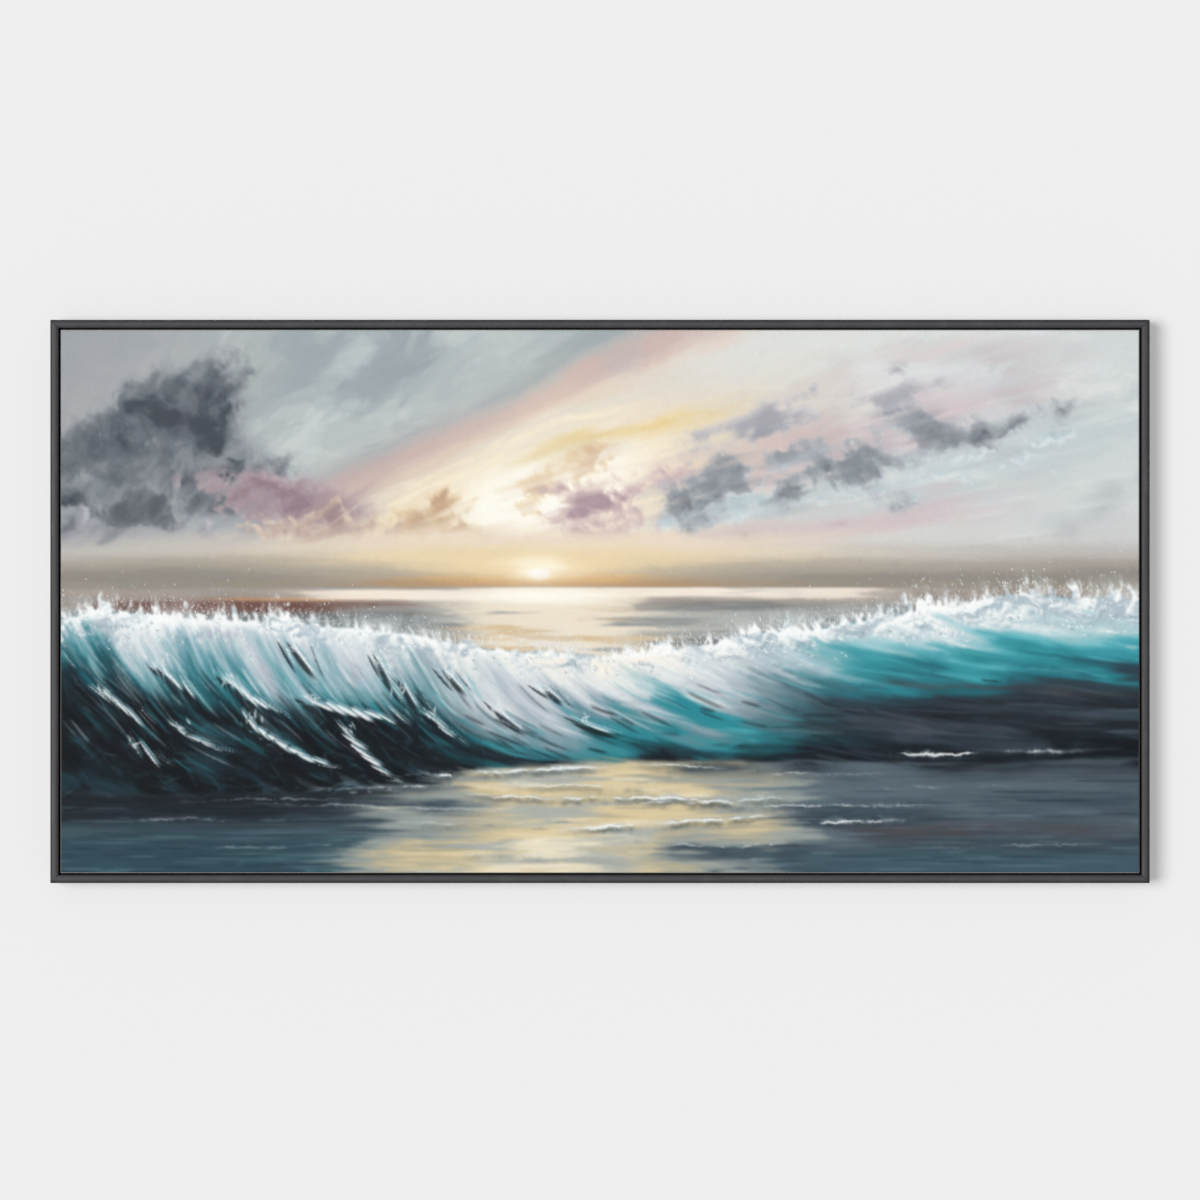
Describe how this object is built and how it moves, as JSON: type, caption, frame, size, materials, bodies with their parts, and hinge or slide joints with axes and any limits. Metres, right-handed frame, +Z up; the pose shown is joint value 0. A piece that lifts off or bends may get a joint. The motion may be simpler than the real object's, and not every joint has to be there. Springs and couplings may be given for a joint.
{
  "type": "framed oil painting",
  "caption": "Wide seascape in oils on canvas, stretched over braced pine bars and set in a slim black floater frame that hangs flat on a wall.",
  "frame": {"origin": "in the wall plane, in the middle of the top rail's flat back face", "axes": "+Z up, +X to the right as one looks at the picture, +Y into the wall; the picture faces -Y"},
  "size_m": [1.2224, 0.0364, 0.6264],
  "materials": {
    "painted_canvas": "oil paint on primed cotton canvas, semi-gloss",
    "black_lacquered_wood": "satin black lacquer",
    "planed_pine": "planed, unfinished",
    "zinc_plated_steel": "bright zinc plating"
  },
  "bodies": {
    "root": {"canvas": "painted_canvas", "frame_rail_top": "black_lacquered_wood", "frame_rail_bottom": "black_lacquered_wood", "frame_rail_left": "black_lacquered_wood", "frame_rail_right": "black_lacquered_wood", "stretcher_bar_top": "planed_pine", "stretcher_bar_bottom": "planed_pine", "stretcher_bar_left": "planed_pine", "stretcher_bar_right": "planed_pine", "cross_brace": "planed_pine", "hanger_left": "zinc_plated_steel", "hanger_right": "zinc_plated_steel", "hanger_screw_left_1": "zinc_plated_steel", "hanger_screw_left_2": "zinc_plated_steel", "hanger_screw_right_1": "zinc_plated_steel", "hanger_screw_right_2": "zinc_plated_steel", "flange_screw_top_1": "zinc_plated_steel", "flange_screw_top_2": "zinc_plated_steel", "flange_screw_top_3": "zinc_plated_steel", "flange_screw_top_4": "zinc_plated_steel", "flange_screw_bottom_1": "zinc_plated_steel", "flange_screw_bottom_2": "zinc_plated_steel", "flange_screw_bottom_3": "zinc_plated_steel", "flange_screw_bottom_4": "zinc_plated_steel", "flange_screw_left_1": "zinc_plated_steel", "flange_screw_left_2": "zinc_plated_steel", "flange_screw_right_1": "zinc_plated_steel", "flange_screw_right_2": "zinc_plated_steel"}
  },
  "joints": []
}
